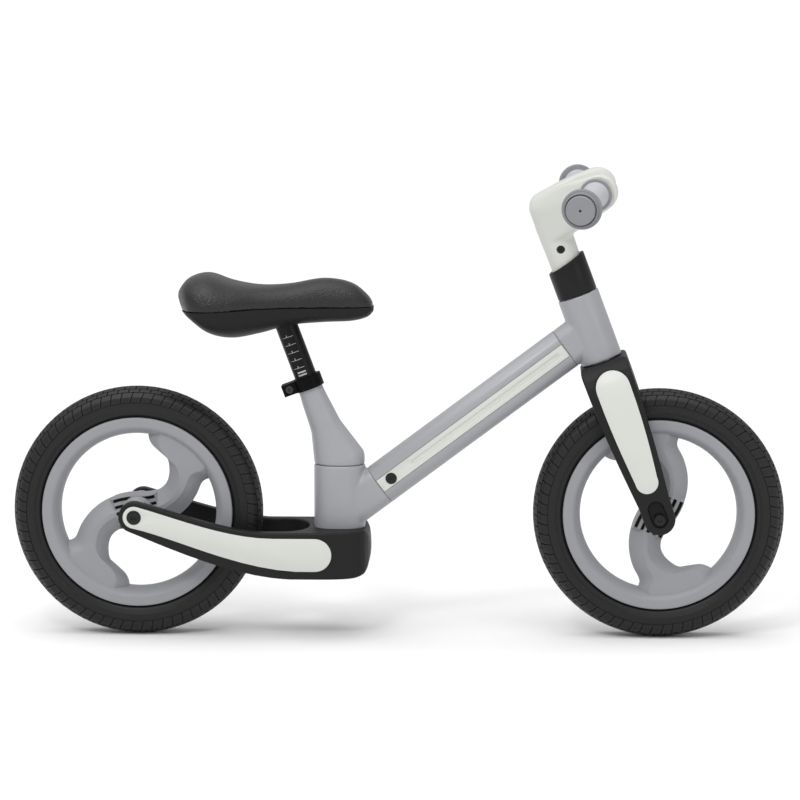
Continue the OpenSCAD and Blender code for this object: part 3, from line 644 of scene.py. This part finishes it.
# From the tail to the nose: distance from the nose, half width, rise above the seam, depth below it
SADDLE_ROWS = np.array([
    (SADDLE_L - 1.5, 32, 18, 3), (SADDLE_L - 13, 57, 32, 13), (SADDLE_L - 36, 66, 38, 29.5),
    (SADDLE_L - 64, 61, 29, 35.5), (SADDLE_L - 96, 45, 24.5, 30.5), (SADDLE_L - 130, 34, 26.5, 21.5),
    (SADDLE_L - 168, 29, 33, 18), (SADDLE_L - 200, 26.5, 28, 16.5), (SADDLE_L - 218, 20, 15.5, 12),
    (SADDLE_L - 225, 12, 6, 5.5),
])


def station(rows, u):
    """Smooth curve through rows of numbers; u runs over the rows."""
    last = len(rows) - 1
    i = min(int(u), last - 1)
    t = u - i
    a, b = rows[max(i - 1, 0)], rows[i]
    c, d = rows[i + 1], rows[min(i + 2, last)]
    squared = (2 * a - 5 * b + 4 * c - d) * t ** 2
    cubed = (3 * b - a - 3 * c + d) * t ** 3
    return 0.5 * (2 * b + (c - a) * t + squared + cubed)


def saddle_shell(up, shrink, roll):
    """Rings across the saddle, closed at the tail and the nose; up is 1 for the cushion, -1 for the base."""
    sides = 40
    inner = 12
    rows = len(SADDLE_ROWS) - 1
    count = rows * 7
    points = []
    fullness = 0.72 if up > 0 else 0.8
    offset = -CUSHION_SINK if up > 0 else BASE_RISE
    for i in range(count + 1):
        from_nose, half, rise, depth = station(SADDLE_ROWS, i * rows / count)
        tail = max(0, from_nose / SADDLE_L - 0.6) / 0.4
        drop = SEAM_DROP * tail
        tuck = TAIL_TUCK * tail ** 3
        tall = (rise + drop if up > 0 else max(0.8, depth - drop)) - shrink
        half = half - shrink
        seam = SADDLE_SEAM - drop + offset
        for k in range(sides + 1):
            a = math.pi * k / sides
            high = math.sin(a) ** fullness
            roll_in = 1 - roll * (1 - math.sin(a)) ** 6 / half
            x = SADDLE_NOSE - from_nose + tuck * (1 - high if up > 0 else 1)
            y = half * math.copysign(abs(math.cos(a)) ** fullness, math.cos(a)) * roll_in
            points.append((x, y, seam + up * tall * high))
        for k in range(1, inner):
            across = 1 - 2 * k / inner
            points.append((SADDLE_NOSE - from_nose + tuck, -half * across * (1 - roll / half), seam))
    ring = sides + inner
    faces = grid_faces(count + 1, ring, False, True)
    faces.append(tuple(range(ring)))
    faces.append(tuple(range(count * ring, (count + 1) * ring)))
    return points, faces


def inflate(mesh, most):
    """Swells a padded piece by cloth pressure, moving no point further than most."""
    skin = with_modifiers(mesh, lambda modifiers: voxel_skin(modifiers, PAD_VOXEL))
    before = np.array([v.co for v in skin.vertices])
    bag = bpy.data.objects.new("bag", skin)
    SCENE.collection.objects.link(bag)
    steps = 20
    cloth = bag.modifiers.new("cloth", "CLOTH")
    cloth.settings.use_pressure = True
    cloth.settings.uniform_pressure_force = 4
    cloth.settings.effector_weights.gravity = 0
    cloth.settings.quality = 6
    for step in range(1, steps + 1):
        SCENE.frame_set(step)
    graph = bpy.context.evaluated_depsgraph_get()
    swollen = bpy.data.meshes.new_from_object(bag.evaluated_get(graph))
    SCENE.frame_set(1)
    bpy.data.objects.remove(bag)
    after = np.array([v.co for v in swollen.vertices])
    move = after - before
    length = np.linalg.norm(move, axis=1)
    capped = before + move * np.minimum(1, most * MM / np.maximum(length, 1e-9))[:, None]
    swollen.vertices.foreach_set("co", capped.astype(np.float32).ravel())
    swollen.update()
    return swollen


def finer(modifiers):
    """Evens out a skin and halves the size of its faces."""
    relax = modifiers.new("relax", "SMOOTH")
    relax.factor = 0.5
    relax.iterations = 6
    smooth = modifiers.new("smooth", "SUBSURF")
    smooth.levels = 1
    smooth.render_levels = 1


def saddle():
    """Leather cushion over a moulded base."""
    points, faces = saddle_shell(1, 0.3, 0.5)
    cushion = with_modifiers(inflate(raw_mesh("cushion", points, faces, METRES), PAD_SWELL), finer)
    pad = piece_from_mesh("saddle_pad", cushion, SKIN_BLACK, "saddle", ["saddle_cushion"])
    points, faces = saddle_shell(-1, 0, 0.7)
    base = raw_mesh("base", points, faces, METRES)
    piece_from_mesh("saddle_shell", base, BASE_BLACK, "saddle", ["saddle_base"])


# ---------- seatpost marks ----------

POST_R = 12.7


def post_patch(name, angle_from, angle_to, low, high):
    """Thin painted patch on the post; angles run from the rear (180) through the rider's right (270)."""
    buried = 0.1
    raised = 0.06
    count = max(2, round((angle_to - angle_from) / 6))
    points = []
    for r in (POST_R - buried, POST_R + raised):
        for z in (low, high):
            for k in range(count + 1):
                a = math.radians(angle_from + (angle_to - angle_from) * k / count)
                points.append((r * math.cos(a), r * math.sin(a), z))
    n = count + 1
    faces = []
    for k in range(count):
        inner_low, inner_high, outer_low, outer_high = k, n + k, 2 * n + k, 3 * n + k
        faces.append((outer_low, outer_low + 1, outer_high + 1, outer_high))
        faces.append((inner_low + 1, inner_low, inner_high, inner_high + 1))
        faces.append((inner_low, inner_low + 1, outer_low + 1, outer_low))
        faces.append((inner_high + 1, inner_high, outer_high, outer_high + 1))
    for k in (0, count):
        faces.append((k, 2 * n + k, 3 * n + k, n + k))
    piece(name, points, faces, POST, MARK_WHITE, "saddle", [], None)


def post_marks():
    """Height scale on the post's right: five cross lines, each with a short stem, and two bars below."""
    top = 64
    pitch = 9.4
    for k in range(5):
        z = top - pitch * k
        post_patch(f"post_mark_{k}", 226, 288, z, z + 0.5)
        post_patch(f"post_stem_{k}", 253, 256, z + 0.5, z + 2.9)
    foot = top - pitch * 4
    post_patch("post_bar_upper", 240, 286, foot - 6, foot - 4.2)
    post_patch("post_bar_lower", 240, 286, foot - 9.4, foot - 7.6)


# ---------- grips ----------


def grip_ring(name, outline, radius, place, stands_for):
    """Darker rubber part of a grip, with its corners rounded."""
    outline = rounded(outline, radius, 3)
    lathed(name, outline, 80, place, FLANGE_GREY, "steering", stands_for, "grip_grey")


def grip(name, side):
    """Ribbed sleeve between two darker flanges, then a neck and a cap with a small hole in its middle."""
    node = "grip_" + name
    hand = 13.5
    core = 9.5
    rib = 7.8
    flange = GRIP_L - 13
    place = grip_axes(side)
    outline = [(core, 3.6), (15.5, 3.6), (14.4, 6.4)]
    for k in range(11):
        outline += [(hand, 9.5 + rib * k), (hand, 14.8 + rib * k), (hand - 0.6, 15.8 + rib * k)]
    outline += [(hand, 96), (14.5, flange - 2.6), (17, flange - 0.6), (core, flange - 0.6)]
    lathed(node + "_sleeve", rounded(outline, 1.1, 3), 80, place, GRIP_GREY, "steering", [node], "grip_grey")

    inner = [(core, 0.4), (18.4, 0.4), (18.4, 3.9), (core, 3.9)]
    grip_ring(node + "_inner_flange", inner, 1.2, place, [])
    outer = [
        (core, flange - 1), (21.6, flange - 1), (22.4, flange + 0.8), (22.4, flange + 4),
        (21, flange + 5), (18.7, flange + 5.2), (18.7, GRIP_L - 0.9), (17.5, GRIP_L - 0.9),
        (17.5, GRIP_L - 3.4), (core, GRIP_L - 3.4),
    ]
    grip_ring(node + "_outer_flange", outer, 0.9, place, [])

    cap = "grip_cap_" + name
    disc = [
        (1.3, GRIP_L - 3.6), (16.3, GRIP_L - 3.6), (16.3, GRIP_L + 2.4),
        (15.4, GRIP_L + 3.4), (1.3, GRIP_L + 3.4),
    ]
    grip_ring(cap + "_disc", disc, 0.8, place, [cap])
    # Painted shade: a black lining fills the cap's small hole just under its face, standing in for the shade
    # inside it
    hole = [(0.2, GRIP_L - 1), (1.5, GRIP_L - 1), (1.5, GRIP_L + 2.8), (0.2, GRIP_L + 2.8)]
    lathed(cap + "_hole_shade", np.array(hole), 24, place, VENT_BLACK, "steering", [], "black_plastic")


# ---------- the bike ----------

tyre("rear_tyre_rubber", "rear_tyre", "rear_wheel")
tyre("front_tyre_rubber", "front_tyre", "front_wheel")
rim("rear", "rear_rim", "rear_wheel", 0)
rim("front", "front_rim", "front_wheel", math.radians(51))
saddle()
post_marks()
grip("right", 1)
grip("left", -1)

blended_copy("handlebar", 1.2, 26, BAR_WHITE, ["stem_bolts"])
blended_copy("fork", 1.3, 5, FORK_BLACK)
blended_copy("rear_fork", 1.3, 5, FORK_BLACK)
blended_copy("rear_casting", 1.2, 10, FRAME_GREY, with_bore=True)
blended_copy("seat_tube", 1.2, 24, FRAME_GREY, with_bore=True)
blended_copy("head_tube", 1.2, 8, FRAME_GREY)

for node, radius, material, slot in [
    ("down_tube", 0.5, FRAME_GREY, "frame_grey"),
    ("down_tube_inlay_right", 0.3, PALE_PANEL, "pale_panel"),
    ("down_tube_inlay_left", 0.3, PALE_PANEL, "pale_panel"),
    ("rear_fork_inlay_right", 0.4, PALE_PANEL, "pale_panel"),
    ("rear_fork_inlay_left", 0.4, PALE_PANEL, "pale_panel"),
    ("fork_inlay_right", 0.4, PALE_PANEL, "pale_panel"),
    ("fork_inlay_left", 0.4, PALE_PANEL, "pale_panel"),
    ("headset_collar", 1.6, COLLAR_BLACK, "collar_black"),
    ("seat_clamp", 0.6, CLAMP_BLACK, "black_plastic"),
    ("dropout_inserts", 0.4, RECESS_BLACK, "black_plastic"),
    ("rear_axle_bolts", 0.5, BOLT_BLACK, "bolt_black"),
    ("front_axle_bolts", 0.5, BOLT_BLACK, "bolt_black"),
    ("down_tube_bolts", 0.5, BOLT_BLACK, "bolt_black"),
    ("stem_bolts", 0.5, BOLT_BLACK, "bolt_black"),
    ("seat_clamp_bolt", 0.4, RING_BLACK, "bolt_black"),
    ("yoke_bolts", 0.4, BOLT_BLACK, "bolt_black"),
    ("rear_hub_caps", 0.8, HUB_SILVER, "hub_silver"),
    ("front_hub_caps", 0.8, HUB_SILVER, "hub_silver"),
]:
    rounded_copy(node, radius, material)

# Nodes that show as they are; whatever isn't named here is steel
CARRIED = {
    "seatpost": POST_BLACK,
    "seatpost_plug": BASE_BLACK,
    "rear_hub_vents": VENT_BLACK,
    "front_hub_vents": VENT_BLACK,
}
for node, shown in frame["nodes"].items():
    if not shown.hide_render:
        shown.data.materials.clear()
        shown.data.materials.append(CARRIED.get(node, STEEL))

# ---------- floor, light and camera ----------


def floor():
    """Plain pale floor, far wider than the view."""
    reach = 40
    points = [(x, y, 0) for x, y in ((-reach, -reach), (reach, -reach), (reach, reach), (-reach, reach))]
    mesh = bpy.data.meshes.new("floor")
    mesh.from_pydata(points, [], [(0, 1, 2, 3)])
    mesh.materials.append(surface("floor_pale", tone(232), 0.9, 60, 0.0002, mottle=0.004, **DULL))
    ground = bpy.data.objects.new("floor", mesh)
    SCENE.collection.objects.link(ground)


def soft_light(name, place, aim, width, power):
    """Round lamp at a place, turned to face the aim."""
    data = bpy.data.lights.new(name, "AREA")
    data.shape = "DISK"
    data.size = width
    data.energy = power
    lamp = bpy.data.objects.new(name, data)
    SCENE.collection.objects.link(lamp)
    lamp.location = place
    lamp.rotation_mode = "QUATERNION"
    lamp.rotation_quaternion = (Vector(place) - Vector(aim)).to_track_quat("Z", "Y")


def camera():
    """Long lens from the bike's right side, a little ahead of square on and a little above."""
    azimuth = math.radians(2)
    elevation = math.radians(8.2)
    distance = 4.132
    target = Vector((0.0024, 0, 0.273))
    back = Vector((
        math.sin(azimuth) * math.cos(elevation),
        -math.cos(azimuth) * math.cos(elevation),
        math.sin(elevation),
    ))
    data = bpy.data.cameras.new("camera")
    data.sensor_width = 36
    data.lens = 162
    view = bpy.data.objects.new("camera", data)
    SCENE.collection.objects.link(view)
    view.location = target + back * distance
    view.rotation_mode = "QUATERNION"
    view.rotation_quaternion = back.to_track_quat("Z", "Y")
    SCENE.camera = view


def daylight(direction, strength, spread):
    """Even light from one side of the sky, soft enough to leave no hard shadow."""
    data = bpy.data.lights.new("daylight", "SUN")
    data.energy = strength
    data.angle = math.radians(spread)
    lamp = bpy.data.objects.new("daylight", data)
    SCENE.collection.objects.link(lamp)
    lamp.rotation_mode = "QUATERNION"
    lamp.rotation_quaternion = Vector(direction).to_track_quat("Z", "Y")


floor()
daylight((-0.15, -0.22, 1), 2.2, 80)
soft_light("key", (-0.7, -2.2, 2.4), (0, 0, 0.25), 0.7, 20)
soft_light("side", (1.9, -1.7, 1.0), (0.1, 0, 0.2), 0.6, 5)
world = bpy.data.worlds.new("studio")
world.use_nodes = True
world.node_tree.nodes["Background"].inputs["Color"].default_value = (1, 1, 1, 1)
world.node_tree.nodes["Background"].inputs["Strength"].default_value = 0.6
SCENE.world = world
SCENE.view_settings.view_transform = "Standard"
camera()
